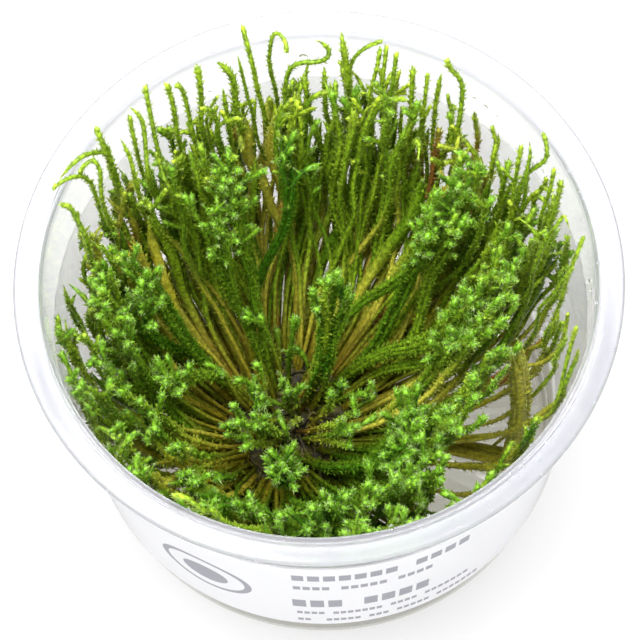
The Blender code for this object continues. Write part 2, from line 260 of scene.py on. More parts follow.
# Thin shoots against the wall at the right, in the same way
WALL_SHOOTS = (
    (0.62, (33.8, -3.8, 34.0), (35.7, -4.9, 38.0), (36.6, -4.7, 43.0), (37.2, -3.9, 48.0)),
    (0.62, (33.1, -6.0, 32.0), (36.1, -7.0, 36.0), (37.7, -6.9, 42.0), (38.9, -4.4, 49.0)),
    (1.0, (36.6, -16.7, 45.0), (38.1, -12.6, 51.0), (39.3, -10.4, 57.0)),
    (1.0, (37.4, -16.7, 50.0), (38.5, -15.3, 53.0), (39.7, -14.7, 58.0)),
    (0.7, (33.0, -4.0, 34.0), (35.1, -4.4, 37.0), (36.7, -4.7, 41.0),
     (37.3, -4.7, 46.0), (37.4, -4.2, 50.0)),
    (0.7, (32.6, -5.9, 32.0), (35.0, -6.8, 35.0), (37.1, -7.2, 40.0),
     (38.2, -7.0, 46.0), (38.6, -5.9, 52.0)),
    (0.7, (26.0, -12.4, 6.0), (27.4, -10.8, 9.0), (29.5, -10.5, 13.0),
     (31.2, -11.3, 17.0)),
)

# Golden stems that stand together before the wall at the right: the line they follow, how many there
# are, how far they stand from it, how their tops differ, and the height that they are golden to
BUNDLE_LINE = (
    (30.4, -13.0, 10.0), (31.6, -11.4, 18.0), (32.1, -9.8, 27.0), (31.6, -8.2, 35.0), (30.8, -7.7, 43.0),
)
BUNDLE_STEMS = 14
BUNDLE_RADIUS = 1.5
BUNDLE_TOPS = (-6.0, 3.0)
BUNDLE_GOLD = 46.0

# Slots between bundles of shoots, where the cup's wall shows: angle and half width in degrees. They
# open between two heights, and close again in part between two more
SLOTS = ((109.5, 2.4), (85.0, 3.0), (49.0, 2.6), (28.0, 2.2), (16.0, 2.0), (137.0, 2.6), (176.0, 2.0))
SLOTS_OPEN = (31.0, 41.0)
SLOTS_CLOSE = (46.0, 60.0)

# Patches round the clump where the stems are golden high up: angle and half width in degrees. Then
# the heights that they are golden to, for each ring, outside those patches and in them
GOLD_PATCHES = ((50.0, 13.0), (104.0, 11.0), (149.0, 15.0), (-10.0, 14.0), (-138.0, 20.0))
GOLD_LOW = (20.0, 11.0, 5.0)
GOLD_HIGH = (43.0, 35.0, 9.0)
GOLD_FADE = 9.0

# Windows between the dark strands inside, where the golden stems behind show
WINDOWS = ((50.0, 9.0), (104.0, 9.0), (149.0, 9.0))

# How shoots grow in a lock of the two outer rings: how many, how strongly they gather at its outside,
# the most that they lean sideways at the foot, the share with a hooked tip, and the height under which
# other shoots hide them
RING_GROWTH = ((8, 0.6, 9.0, 0.25, 28.0), (10, 1.0, 20.0, 0.12, 12.0))
HIDDEN_HEIGHT = 12.0

# The angles where the locks have more shoots and how many more, and those where the locks inside have
# fewer and lower ones, as a share of the height
MORE_SHOOTS = (-95.0, 25.0, 4)
THIN_FRONT = (-165.0, -82.0, -2)
LOW_FRONT = (0.6, 0.95)

# How far an angle faces the camera, from 0 at the back to 1 at the front: where the green front starts
# and is full, where the back starts and is full, and past which shoots have few branches. The outer
# shoots at the back stand up to a drop under the top of their lock
FRONT = (0.6, 0.95)
BACK = (0.6, 0.3)
BARE_FRONT = 0.72
BACK_DROP = 13.0

# Side branches of a shoot, one number of which is drawn for it, in front and elsewhere
FRONT_BRANCHES = (0, 1, 1, 2)
BRANCHES = (0, 1, 2, 3, 4)
STRAND_BRANCHES = (1, 2, 3, 4, 5)
SPRIG_BRANCHES = (0, 1, 2)

# Where along a shoot its branches start, how long they are, how far they stand out, how much they
# turn up at each step, and their thickness
BRANCH_PLACES = (0.55, 0.95)
BRANCH_LENGTHS = (2.0, 6.0)
BRANCH_SPREADS = (0.5, 1.3)
BRANCH_RISE = 0.1
BRANCH_SIZE = 0.85

# Strands of a few shoots side by side round the hollow, how far apart the shoots are and how they turn
# round each other, in radians for each millimetre of height
STRANDS_PER_LOCK = 2
SHOOTS_PER_STRAND = (4, 6)
STRAND_RADIUS = 2.3
STRAND_TURN = 0.03
STRAND_LEAN = 38.0

# Short broad stems low down behind the outer shoots: their depths in two rows, their tops and how much
# higher those at the back are
CURTAIN_STEMS = 9
CURTAIN_DEPTHS = ((0.75, 0.95), (0.5, 0.72))
CURTAIN_TOPS = (26.0, 36.0)
CURTAIN_RISE = 12.0
CURTAIN_LEAN = 13.0
CURTAIN_THICKNESS = (1.1, 1.8)
CURTAIN_FEATHER = 0.45
CURTAIN_HIDDEN = 4.0

# Small shoots in the hollow and loose old stems on the mat
HOLLOW_SPRIGS = 24
LITTER_STEMS = 60
LITTER_LIFT = 0.35

# Every shoot's path: its seed, the space between its points, and its lowest and highest place
SHOOT_SEED = 5
PATH_STEP = 2.4
GUIDE_STEP = 0.8
CURL_STEP = 0.8
BRANCH_STEP = 1.1
ROOT_HEIGHT = 1.8
TOP_LIMIT = 66.2
GUIDE_SHARE = 0.93

# How paths wander: the height where their sideways lean has ended, their sway, and the waves of that
# sway on each axis, slow and quick, in radians for each millimetre of height
LEAN_TOP = 34.0
SWAY = (0.3, 0.9)
SWAY_WAVES = ((0.21, 0.55), (0.19, 0.5))
GUIDED_HEIGHT = 8.0
GUIDED_SWAY = 0.5
GUIDED_WAVES = (0.25, 0.22)

# The last stretch of a hooked shoot and of a plain one: its length and how far it bends, in degrees
HOOKED_TIP = ((4.0, 9.0), (50.0, 140.0))
PLAIN_TIP = ((3.0, 8.0), (0.0, 28.0))

# Points near a tip that its round end needs, back from it
BUD_POINTS = (0.7, 0.4, 0.16, 0.04)

# How a shoot differs along it: the length of its fresh end and its thickness, each between two values;
# its leaves, sparse where other shoots hide it; and the cover, flare and point of a broad old stem
FRESH_LENGTH = (3.0, 10.0)
THICKNESS = (0.85, 1.2)
SPARSE = 0.2
BROAD_COVER = 0.55
BROAD_FLARE = 0.6
BROAD_POINT = 6.0

# Colours: how yellow the green of each ring is, and how much yellower it is painted at the right and the
# left, as painted light
RING_TINTS = (0.78, 0.58, 0.3)
RIGHT_PAINTED_LIGHT = 0.35
LEFT_PAINTED_LIGHT = 0.2

# Shoots and leaves: the rope of a stem, its pressed leaves and its fine hairs. Real leaf points are a
# few hundredths wide, and these are drawn as wide as they need to be to show
ROPE_RADIUS = 0.37
ROPE_SIDES = 5
STAND_OFF = 0.9
LEAF_LENGTH = 0.74
LEAF_MOST = 1.25
LEAF_WIDTH = 0.48
LEAF_SPACING = 0.19
LEAF_TURN = 2.3999632
LEAF_SCATTER = 0.45
HAIR_LENGTH = 0.6
HAIR_WIDTH = 0.08
HAIR_SPACING = 0.15
HAIRY_LENGTH = 7.0
CROWN_HAIRS = 9
SHOOT_SIZES = (
    ("Rope radius", "Float", ROPE_RADIUS * MM), ("Leaf length", "Float", LEAF_LENGTH * MM),
    ("Leaf spacing", "Float", LEAF_SPACING * MM), ("Hair length", "Float", HAIR_LENGTH * MM),
    ("Hair spacing", "Float", HAIR_SPACING * MM), ("Hairy length", "Float", HAIRY_LENGTH * MM),
    ("Crown hairs", "Int", CROWN_HAIRS),
)

# Kinds of node by a plain name: Blender's name, its settings, the inputs that its values go to in
# order, and the output that is used
NODES = {
    "spot": ("ShaderNodeTexCoord", {}, (), "Object"),
    "x": ("ShaderNodeSeparateXYZ", {}, (0,), "X"),
    "y": ("ShaderNodeSeparateXYZ", {}, (0,), "Y"),
    "z": ("ShaderNodeSeparateXYZ", {}, (0,), "Z"),
    "attribute": ("ShaderNodeAttribute", {}, (), "Fac"),
    "noise": ("ShaderNodeTexNoise", {}, ("Vector", "Scale", "Detail"), 0),
    "bump": ("ShaderNodeBump", {}, ("Height", "Strength", "Distance"), 0),
    "mixed": ("ShaderNodeMix", {"data_type": "RGBA"}, (0, 6, 7), 2),
    "tinted": ("ShaderNodeMix", {"data_type": "RGBA", "blend_type": "MULTIPLY"}, (0, 6, 7), 2),
    "ranged": ("ShaderNodeMapRange", {}, (0, 1, 2, 3, 4), 0),
    "random": ("FunctionNodeRandomValue", {}, (2, 3, "Seed"), 1),
    "index": ("GeometryNodeInputIndex", {}, (), 0),
    "named": ("GeometryNodeInputNamedAttribute", {"data_type": "FLOAT"}, ("Name",), 0),
    "stored": (
        "GeometryNodeStoreNamedAttribute", {"data_type": "FLOAT", "domain": "POINT"},
        ("Geometry", "Name", "Value"), 0,
    ),
    "turn about": ("FunctionNodeAxisAngleToRotation", {}, ("Axis", "Angle"), 0),
    "turned": ("FunctionNodeRotateRotation", {"rotation_space": "LOCAL"}, (0, 1), 0),
    "turned arrow": ("FunctionNodeRotateVector", {}, ("Vector", "Rotation"), 0),
    "scaled arrow": ("ShaderNodeVectorMath", {"operation": "SCALE"}, (0, "Scale"), 0),
    "object": ("GeometryNodeObjectInfo", {}, ("Object",), "Geometry"),
    "curves": ("GeometryNodeMeshToCurve", {}, (0,), 0),
    "circle": ("GeometryNodeCurvePrimitiveCircle", {}, ("Resolution", "Radius"), 0),
    "tube": ("GeometryNodeCurveToMesh", {}, ("Curve", "Profile Curve", "Scale", "Fill Caps"), 0),
    "smooth": ("GeometryNodeSetShadeSmooth", {}, ("Geometry",), 0),
    "curve length": ("GeometryNodeSplineLength", {}, (), 0),
    "stretch": ("GeometryNodeTrimCurve", {"mode": "LENGTH"}, (0, 4, 5), 0),
    "spaced points": ("GeometryNodeCurveToPoints", {"mode": "LENGTH"}, (0, "Length"), 0),
    "counted points": ("GeometryNodeCurveToPoints", {"mode": "COUNT"}, (0, "Count"), 0),
    "moved": ("GeometryNodeSetPosition", {}, ("Geometry", "Offset"), 0),
    "thinned": ("GeometryNodeDeleteGeometry", {"domain": "POINT"}, ("Geometry", "Selection"), 0),
    "instances": (
        "GeometryNodeInstanceOnPoints", {}, ("Points", "Instance", "Rotation", "Scale"), 0,
    ),
    "joined": ("GeometryNodeJoinGeometry", {}, (0, 0, 0, 0), 0),
    "real": ("GeometryNodeRealizeInstances", {}, (0,), 0),
    "finished": ("GeometryNodeSetMaterial", {}, (0, "Material"), 0),
    "result": ("NodeGroupOutput", {}, (0,), None),
}
for operation in (
    "ADD", "SUBTRACT", "MULTIPLY", "MULTIPLY_ADD", "DIVIDE", "SQRT", "FRACT", "ARCTAN2", "MINIMUM",
    "GREATER_THAN", "LESS_THAN",
):
    NODES[operation.lower()] = ("ShaderNodeMath", {"operation": operation}, (0, 1, 2), 0)


def linear(hex_colour):
    """An sRGB hex colour as the linear numbers that a shader takes."""
    made = []
    for start in (1, 3, 5):
        value = int(hex_colour[start:start + 2], 16) / 255.0
        made.append(value / 12.92 if value <= 0.04045 else ((value + 0.055) / 1.055) ** 2.4)
    return (*made, 1.0)


def feed(socket, value):
    """Gives a node's input a number, a hex colour or the output that feeds it."""
    if isinstance(value, bpy.types.NodeSocket):
        socket.id_data.links.new(value, socket)
    elif isinstance(value, str) and value.startswith("#"):
        socket.default_value = linear(value)
    else:
        socket.default_value = value


def add_node(tree, name, *values, **settings):
    """Adds a node of one of the kinds above, with its settings and what its inputs take."""
    kind, fixed, sockets, output = NODES[name]
    made = tree.nodes.new(kind)
    for key, value in {**fixed, **settings}.items():
        setattr(made, key, value)
    for socket, value in zip(sockets, values):
        feed(made.inputs[socket], value)
    return made if output is None else made.outputs[output]


def new_material(name):
    """A material, and the function that adds nodes to it."""
    made = bpy.data.materials.new(name)
    made.use_nodes = True
    return made, partial(add_node, made.node_tree)


def finished_material(made, values):
    """The material, with its shader's inputs given their values."""
    for name, value in values.items():
        feed(made.node_tree.nodes["Principled BSDF"].inputs[name], value)
    return made


def pattern_scale(size):
    """The scale of a noise whose features are of a size in millimetres."""
    return 1.0 / (size * MM)


def clear_polypropylene():
    """Injection-moulded clear polypropylene: see-through with a soft gloss that fine scuffs dull in
    specks, a little milkier in the thicker flange, and painted grey at the foot under the band: painted
    shade, in place of the shadow there and the dark mat seen through the plastic."""
    made, add = new_material("clear moulded polypropylene")
    spot = add("spot")
    height = add("z", spot)
    flange = add("ranged", height, 56.5 * MM, 57.5 * MM)
    # Painted shade: the foot under the band is coloured grey, for the shadow there and the dark mat seen
    # through it
    foot = add("ranged", height, 7.0 * MM, BAND_BOTTOM * MM)
    scuffs = add("noise", spot, pattern_scale(SCUFF_SIZE), 3.0)
    ripples = add("noise", spot, pattern_scale(RIPPLE_SIZE), 2.0)
    rough = add("ranged", scuffs, 0.5, 0.8, 0.05, 0.14)
    return finished_material(made, {
        "Base Color": add("mixed", flange, add("mixed", foot, "#B0AEA0", "#FCFCFC"), "#E4E4EC"),
        "Transmission Weight": add("ranged", flange, 0.0, 1.0, 0.92, 0.78),
        "Roughness": add("multiply_add", flange, 0.16, rough),
        "IOR": 1.49,
        "Normal": add("bump", ripples, 0.02, 0.1 * MM),
    })


def print_mask(add, spot):
    """Where the band has ink: rows of small blocks in place of words, and a disc in a ring."""
    def between(value, low, high):
        return add("multiply", add("greater_than", value, low), add("less_than", value, high))

    height = add("divide", add("z", spot), MM)
    round_band = add("multiply", add("arctan2", add("y", spot), add("x", spot)), MEAN_BAND_RADIUS)
    ink = 0.0
    for low, high, pitch, *words in PRINT_ROWS:
        covered = 0.0
        for word in words:
            start, end = [pitch * round(edge / pitch) for edge in word]
            covered = add("add", covered, between(round_band, start, end))
        blocks = between(add("fract", add("divide", round_band, pitch)), 0.0, BLOCK_SHARE)
        row = add("multiply", between(height, low, high), blocks)
        ink = add("multiply_add", row, covered, ink)
    across = add("subtract", round_band, math.radians(DISC_ANGLE) * MEAN_BAND_RADIUS)
    up = add("subtract", height, DISC_HEIGHT)
    reach = add("sqrt", add("multiply_add", across, across, add("multiply", up, up)))
    ring = between(reach, RING_RADIUS - RING_WIDTH, RING_RADIUS)
    return add("add", ink, add("add", add("less_than", reach, DISC_RADIUS), ring))


def printed_film():
    """Thin polypropylene film: white ink makes it opaque and satin at the front, and the light comes
    through it at the sides and back, with the faint unevenness of a film wrapped round a wall. Its
    colour is painted darker at the front as painted shade. It lies on the wall, so it bends light less
    than a film in air."""
    made, add = new_material("white printed film")
    spot = add("spot")
    cloud = add("noise", spot, pattern_scale(FILM_CLOUD_SIZE), 3.0)
    # Painted shade: the film is coloured darker towards the front, and paler at its bare back
    bare_and_unshaded_back = add("ranged", add("y", spot), -26.0 * MM, -8.0 * MM)
    film = add("mixed", bare_and_unshaded_back, add("mixed", cloud, "#E2E2E8", "#EAEAEE"), "#FCFCFC")
    return finished_material(made, {
        "Base Color": add("mixed", print_mask(add, spot), film, "#92929A"),
        "Transmission Weight": add("ranged", bare_and_unshaded_back, 0.0, 1.0, 0.1, 0.85),
        "Roughness": 0.5,
        "IOR": 1.1,
        "Subsurface Weight": 0.8,
        "Subsurface Radius": (1.0, 1.0, 1.0),
        "Subsurface Scale": 1.5 * MM,
        "Normal": add("bump", cloud, 0.1, 0.1 * MM),
    })


def moss_leaf():
    """Living moss leaves, one cell thick: wet and glossy, deep green below, yellow-green at the
    growing ends, with pale hairs, golden where the stem is old, and browner down by the mat."""
    made, add = new_material("living moss leaf")
    tint, fresh, old, along, shade, feather, hair = (
        add("attribute", attribute_name=name)
        for name in ("tint", "fresh", "old", "along", "shade", "feather", "hair")
    )
    green = add("mixed", tint, "#448216", "#B4D434")
    light = add("mixed", tint, "#74B028", "#D8EC54")
    green = add("mixed", add("ranged", shade, 0.0, 1.0, 0.0, 0.6), green, light)
    tip = add("mixed", add("ranged", feather, 0.2, 0.55), "#D4EC44", "#94CC38")
    gold = add("mixed", shade, add("mixed", tint, "#D4C83C", "#F0E868"), "#A8C038")
    gold = add("mixed", add("ranged", tint, 0.9, 0.96), gold, "#DC9A58")
    body = add("mixed", old, add("mixed", fresh, green, tip), gold)
    spot = add("spot")
    grain = add("noise", spot, pattern_scale(CELL_SIZE), 2.0)
    cells = add("mixed", add("ranged", grain, 0.36, 0.64), add("mixed", old, "#8E9A80", "#C4C8AC"), "#FFFFFF")
    # Painted shade: each leaf is a little darker at its base, where it meets the stem, and the stem rope is
    # darker too
    painted_leaf_base_shade = add("mixed", add("ranged", along, 0.0, 0.6), "#F2F4E4", "#FFFFFF")
    low = add("mixed", add("ranged", add("z", spot), 3.0 * MM, 16.0 * MM), "#948650", "#FFFFFF")
    for tone in (cells, painted_leaf_base_shade, low):
        body = add("tinted", 1.0, body, tone)
    pale = add("multiply", hair, add("ranged", along, 0.0, 1.0, 0.3, 0.95))
    return finished_material(made, {
        "Base Color": add("mixed", pale, body, "#D8EE9C"),
        "Roughness": 0.36,
        "IOR": 1.4,
        "Subsurface Weight": 0.35,
        "Subsurface Radius": (1.0, 1.0, 0.4),
        "Subsurface Scale": 0.7 * MM,
        "Normal": add("bump", grain, 0.5, 0.08 * MM),
    })


def old_stem():
    """Dead lower stems and leaf litter of the mat: brown, wet and matted in small clots."""
    made, add = new_material("old moss stem")
    clots = add("noise", add("spot"), pattern_scale(CLOT_SIZE), 4.0)
    return finished_material(made, {
        "Base Color": add("mixed", add("ranged", clots, 0.35, 0.7), "#1C1406", "#585418"),
        "Roughness": 0.7,
        "Normal": add("bump", clots, 0.6, 0.4 * MM),
    })


def clear_water():
    """A bead of clear water: bright and dark from what it bends, with a sharp gloss."""
    made, add = new_material("clear water")
    return finished_material(made, {
        "Base Color": "#FFFFFF", "Roughness": 0.02, "IOR": 1.33, "Transmission Weight": 1.0,
    })


def studio_floor():
    """A lit white paper sweep: it glows to near white, and is grey enough below that to keep a soft
    shadow."""
    made, add = new_material("white paper sweep")
    return finished_material(made, {
        "Base Color": "#8E8E8E", "Roughness": 0.9, "Emission Color": "#FFFFFF", "Emission Strength": 0.7,
    })


def new_object(name, data):
    """An object of the scene, at the origin."""
    made = bpy.data.objects.new(name, data)
    bpy.context.scene.collection.objects.link(made)
    return made


def add_piece(name, mesh, material, nodes):
    """A finished mesh, in metres, as a piece on the body, in place of its CAD nodes."""
    mesh.materials.clear()
    mesh.materials.append(material)
    piece = new_object(name, mesh)
    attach(piece, "root")
    if nodes:
        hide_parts(*nodes)
    return piece


def finished_mesh(name, made):
    """The smooth mesh, in metres, of a bmesh that is drawn in millimetres."""
    bmesh.ops.scale(made, vec=(MM, MM, MM), verts=made.verts)
    mesh = bpy.data.meshes.new(name)
    made.to_mesh(mesh)
    made.free()
    mesh.shade_smooth()
    return mesh


def arc(centre, radius, start, end, points):
    """Points on an arc in the profile plane, angles in degrees from outwards to upwards."""
    made = []
    for step in range(points):
        angle = math.radians(start + (end - start) * step / (points - 1))
        made.append((centre[0] + radius * math.cos(angle), centre[1] + radius * math.sin(angle)))
    return made


def turned(name, profile, closed=False):
    """A mesh spun round the axis from (radius, height) pairs."""
    made = bmesh.new()
    verts = [made.verts.new((radius, 0.0, height)) for radius, height in profile]
    pairs = list(zip(verts, verts[1:])) + [(verts[-1], verts[0])] * closed
    edges = [made.edges.new(pair) for pair in pairs]
    bmesh.ops.spin(
        made, geom=verts + edges, cent=(0, 0, 0), axis=UP, angle=FULL_TURN, steps=CUP_STEPS,
        use_merge=True,
    )
    bmesh.ops.remove_doubles(made, verts=made.verts, dist=TINY)
    bmesh.ops.recalc_face_normals(made, faces=made.faces)
    mesh = finished_mesh(name, made)
    mesh.set_sharp_from_angle(angle=math.radians(SHARP_ANGLE))
    return mesh


def inner_wall(height):
    """Radius of the cup's inner wall at a height."""
    if height <= LEDGE_HEIGHT:
        share = max(0.0, height) / LEDGE_HEIGHT
        return FLOOR_RADIUS + (LEDGE_RADIUS - LEDGE_STEP - FLOOR_RADIUS) * share
    share = min(1.0, (height - LEDGE_HEIGHT) / (COLLAR_TOP - LEDGE_HEIGHT))
    return LEDGE_RADIUS + (MOUTH_RADIUS - LEDGE_RADIUS) * share


def outer_wall(height):
    """Radius of the cup's outer wall at a height."""
    return inner_wall(height) + WALL_THICKNESS


def build_cup(material):
    """The cup, turned from one profile: under the floor, up the wall, over the rim and down inside."""
    edge = FLANGE_EDGE / 2.0
    foot = (outer_wall(0.0) - FOOT_ROUND, FOOT_ROUND)
    corner = (inner_wall(FLOOR_THICKNESS) - FLOOR_ROUND, FLOOR_THICKNESS + FLOOR_ROUND)
    profile = [
        (0.0, 0.0),
        *arc(foot, FOOT_ROUND, -90, 0, 7),
        *[(outer_wall(height), height) for height in LEDGE_BACK],
        (outer_wall(COLLAR_TOP) + FLARE_STEPS[0], COLLAR_TOP - FLARE_START),
        (outer_wall(COLLAR_TOP) + FLARE_STEPS[1], FLANGE_HEIGHT - FLANGE_EDGE),
        *arc((FLANGE_RADIUS - edge, FLANGE_HEIGHT - edge), edge, -90, 90, 9),
        CREST_FOOT,
        *[(MOUTH_RADIUS + out, CREST - below) for out, below in CREST_POINTS],
        (MOUTH_RADIUS, COLLAR_TOP),
        *[(LEDGE_RADIUS - LEDGE_STEP * share, LEDGE_HEIGHT - below) for share, below in LEDGE_POINTS],
        *arc(corner, FLOOR_ROUND, 0, -90, 7),
        (0.0, FLOOR_THICKNESS),
    ]
    add_piece("moulded_cup", turned("moulded_cup", profile), material, ["cup"])


def build_band(material):
    """The printed band, closed round the wall."""
    low, high = [outer_wall(height) + BAND_GAP for height in (BAND_BOTTOM, BAND_TOP)]
    profile = [
        (low, BAND_BOTTOM), (low + BAND_THICKNESS, BAND_BOTTOM),
        (high + BAND_THICKNESS, BAND_TOP), (high, BAND_TOP),
    ]
    mesh = turned("wrapped_band", profile, closed=True)
    add_piece("wrapped_band", mesh, material, ["label_band"])


def build_beads(material):
    """The beads of water, each a flattened ball that touches the plastic."""
    made = bmesh.new()
    beads = [
        (angle, inner_wall(height) - WALL_BEAD_SHAPE[0] * width, height, width, WALL_BEAD_SHAPE)
        for angle, height, width in WALL_BEADS
    ]
    beads += [
        (angle, MOUTH_RADIUS + CREST_BEAD_OUT, FLANGE_HEIGHT + 0.5 * width, width, CREST_BEAD_SHAPE)
        for angle, width in CREST_BEADS
    ]
    for angle, radius, height, width, shape in beads:
        turn = Quaternion(UP, math.radians(angle))
        ball = bmesh.ops.create_uvsphere(made, u_segments=20, v_segments=12, radius=1.0)
        for vert in ball["verts"]:
            vert.co = turn @ (vert.co * Vector(shape) * width + Vector((radius, 0.0, height)))
    add_piece("water_beads", finished_mesh("water_beads", made), material, [])


def build_mat(material):
    """The low mat of old stems: a lumpy round top with a skirt, closed underneath."""
    made = bmesh.new()
    bmesh.ops.create_grid(made, x_segments=MAT_GRID, y_segments=MAT_GRID, size=1.0)
    bottom, foot = [FLOOR_THICKNESS + gap for gap in MAT_GAPS]
    lump, across, along = MAT_LUMPS
    for vert in made.verts:
        reach = max(abs(vert.co.x), abs(vert.co.y))
        turn = math.atan2(vert.co.y, vert.co.x)
        lumps = lump * math.sin(across * vert.co.x) * math.sin(along * vert.co.y)
        height = bottom + (MAT_TOP - bottom) * (1.0 - reach ** 6) + lumps * (1.0 - reach ** 4)
        vert.co = Vector((*CLUMP_CENTRE, height)) + level(turn) * reach * MAT_RADIUS
    rim = [edge for edge in made.edges if edge.is_boundary]
    for vert in bmesh.ops.extrude_edge_only(made, edges=rim)["geom"]:
        if isinstance(vert, bmesh.types.BMVert):
            vert.co.z = foot
    bmesh.ops.holes_fill(made, edges=[edge for edge in made.edges if edge.is_boundary])
    bmesh.ops.recalc_face_normals(made, faces=made.faces)
    add_piece("stem_mat", finished_mesh("stem_mat", made), material, ["moss_mat"])


def within(value):
    """The value, held between 0 and 1."""
    return min(1.0, max(0.0, value))


def smooth_step(value, low, high):
    """A smooth rise from 0 at one value to 1 at another."""
    share = within((value - low) / (high - low))
    return share * share * (3.0 - 2.0 * share)


def level(turn):
    """The level arrow, 1 long, that points at an angle in radians."""
    return Vector((math.cos(turn), math.sin(turn), 0.0))


def beside(chance, radius):
    """A random level step within a radius."""
    return level(chance.uniform(0.0, FULL_TURN)) * radius * math.sqrt(chance.random())


def turn_gap(angle, other):
    """The turn from one angle to another, between -180 and 180 degrees."""
    return (angle - other + 180.0) % 360.0 - 180.0


def in_patch(angle):
    """Whether an angle is in the thin patch."""
    return PATCH_START < turn_gap(angle, 0.0) < PATCH_END


def front_share(angle):
    """How far an angle faces the camera, from 0 at the back to 1 at the front."""
    return 0.5 - 0.5 * math.sin(math.radians(angle))


def spread_share(height):
    """How far the clump has spread at a height, from 0 on the mat towards 1 by the wall."""
    return 1.0 - math.exp(-max(0.0, height - MAT_TOP) / CLUMP_SPREAD)


def clump_radius(height):
    """Radius of the whole clump at a height."""
    free = CLUMP_FOOT_RADIUS + (CLUMP_FULL_RADIUS - CLUMP_FOOT_RADIUS) * spread_share(height)
    return min(free, inner_wall(min(height, COLLAR_TOP)) - WALL_CLEARANCE)


def hollow_share(height):
    """Share of the clump's radius that the hollow takes at a height."""
    risen = within((height - MAT_TOP) / (HOLLOW_HEIGHT - MAT_TOP))
    return HOLLOW_FOOT + (HOLLOW_FULL - HOLLOW_FOOT) * risen


def crown_share(depth, height):
    """Share of the radius at a depth, from 0 at the hollow to 1 at the outside of the clump."""
    hollow = hollow_share(height)
    return hollow + (1.0 - hollow) * depth


def depth_line(depth, drift, top):
    """A shoot's share of the radius at a height, from its depth in the clump and how that drifts."""
    return lambda height: crown_share(within(depth + drift * (1.0 - height / top)), height)


def place(share, angle, height):
    """A point of the clump, by its share of the radius, its angle in degrees and its height."""
    radius = share * clump_radius(height)
    turn = math.radians(angle)
    off_axis = 1.0 - share * spread_share(height)
    return Vector((
        CLUMP_CENTRE[0] * off_axis + radius * math.cos(turn),
        CLUMP_CENTRE[1] * off_axis + radius * math.sin(turn),
        height,
    ))


def pushed_out(openings, angle, strength):
    """The angle, turned out of the nearest of some openings."""
    for middle, half in openings:
        gap = turn_gap(angle, middle)
        if abs(gap) < half * 2.0:
            return angle + (math.copysign(half + abs(gap) * 0.5, gap) - gap) * strength
    return angle


def clear_of_slots(angle, height):
    """The angle, turned out of the nearest slot at the heights where the slots are open."""
    strength = smooth_step(height, *SLOTS_OPEN) * (1.0 - 0.6 * smooth_step(height, *SLOTS_CLOSE))
    return pushed_out(SLOTS, angle, strength)


def kept_inside(point):
    """The point, moved in towards the axis where it would touch the cup, and under the top."""
    height = min(point.z, TOP_LIMIT)
    limit = inner_wall(height) - STEM_GAP if height < FLANGE_HEIGHT else MOUTH_RADIUS - MOUTH_GAP
    if height > FLANGE_HEIGHT + OVER_FLANGE:
        limit = MOUTH_RADIUS + LEAN_OUT
    pull = min(1.0, limit / max(math.hypot(point.x, point.y), TINY))
    return Vector((point.x * pull, point.y * pull, height))


def curled(path, chance, length, bend):
    """The path with its last stretch bent over by an angle in degrees, like a hooked shoot tip."""
    made = list(path)
    left = length
    while len(made) > 3 and left > 0.0:
        left -= (made[-1] - made[-2]).length
        made.pop()
    heading = (made[-1] - made[-2]).normalized()
    side = Vector((chance.uniform(-1, 1), chance.uniform(-1, 1), chance.uniform(-0.3, 0.3)))
    axis = heading.cross(side).normalized()
    steps = max(3, int(length / CURL_STEP))
    for step in range(steps):
        heading = Quaternion(axis, math.radians(bend) / steps * (0.5 + step / steps)) @ heading
        made.append(made[-1] + heading * (length / steps))
    return made


def middle_line(chance, share_at, angle, lean, tip):
    """The line that a shoot or a strand follows up through the clump: its place at a height. It leans
    sideways by an angle at its foot, and wanders."""
    phase = [chance.uniform(0.0, FULL_TURN) for count in range(4)]
    sway = chance.uniform(*SWAY)

    def line(height):
        left = 1.0 - smooth_step(height, MAT_TOP, LEAN_TOP)
        here = place(share_at(height), clear_of_slots(angle + lean * left, height), height)
        strength = sway * (0.3 + 0.7 * height / tip)
        for axis, (slow, quick) in enumerate(SWAY_WAVES):
            wave = math.sin(height * slow + phase[axis]) + 0.4 * math.sin(height * quick + phase[axis + 2])
            here[axis] += strength * wave
        return here

    return line


def grown_path(chance, line, tip, hook, offset=None):
    """A shoot's path from the mat to its tip along a line; offset gives how far beside it the shoot is."""
    count = max(6, int((tip - ROOT_HEIGHT) / PATH_STEP))
    path = []
    for step in range(count + 1):
        height = ROOT_HEIGHT + (tip - ROOT_HEIGHT) * step / count
        here = line(height)
        path.append(here + offset(height) if offset else here)
    length, bend = HOOKED_TIP if chance.random() < hook else PLAIN_TIP
    path = curled(path, chance, chance.uniform(*length), chance.uniform(*bend))
    return [kept_inside(point) for point in path]


def smooth_line(points, spacing):
    """Points along a smooth curve that runs through the given ones."""
    padded = [points[0] * 2.0 - points[1], *points, points[-1] * 2.0 - points[-2]]
    made = [points[0]]
    for before, start, end, after in zip(padded, padded[1:], padded[2:], padded[3:]):
        steps = max(1, round((end - start).length / spacing))
        for step in range(1, steps + 1):
            t = step / steps
            made.append(0.5 * (
                2.0 * start + (end - before) * t
                + (2.0 * before - 5.0 * start + 4.0 * end - after) * t ** 2
                + (3.0 * start - before - 3.0 * end + after) * t ** 3
            ))
    return made


